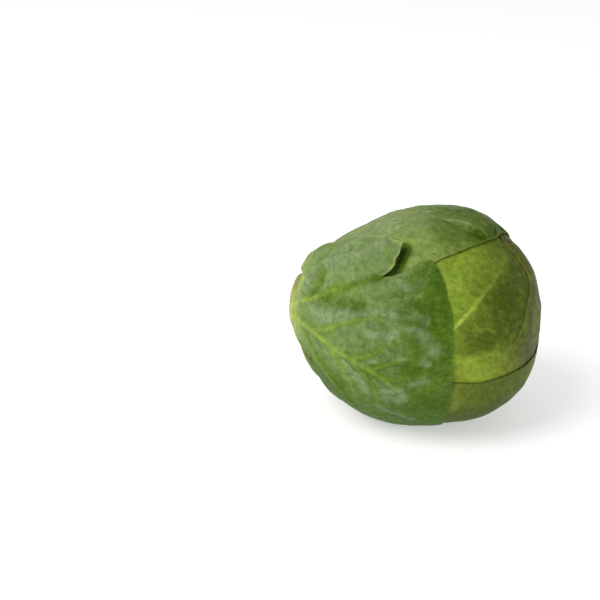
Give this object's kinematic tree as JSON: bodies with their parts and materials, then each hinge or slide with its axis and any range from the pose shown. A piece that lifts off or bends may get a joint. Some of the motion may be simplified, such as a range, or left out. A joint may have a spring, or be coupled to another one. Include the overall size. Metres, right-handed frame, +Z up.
{
  "type": "brussels sprout",
  "caption": "Brussels sprout as picked, lying on its side: an egg-shaped head of waxy green leaves wrapped over a tight heart, on a short cut stem.",
  "frame": {"origin": "on the surface that the sprout lies on, under the middle of its length and width", "axes": "+X along the sprout's axis from the cut stem to the crown, +Z up, and -Y towards the leaf that shows its midrib"},
  "size_m": [0.0392, 0.035, 0.034],
  "materials": {
    "cut_stem": "dry pale cut flesh, matte",
    "heart_leaf": "pale yellow-green young leaf, satin",
    "inner_leaf": "yellow-green to olive leaf with raised veins, satin",
    "outer_leaf": "mid-green leaf with pale veins and patches of grey-white wax bloom, satin"
  },
  "bodies": {
    "root": {"stem": "cut_stem", "heart": "heart_leaf", "leaf_inner_front": "inner_leaf", "leaf_crown": "inner_leaf", "leaf_back": "outer_leaf", "leaf_under": "outer_leaf", "leaf_top": "outer_leaf", "leaf_front": "outer_leaf"}
  },
  "joints": []
}
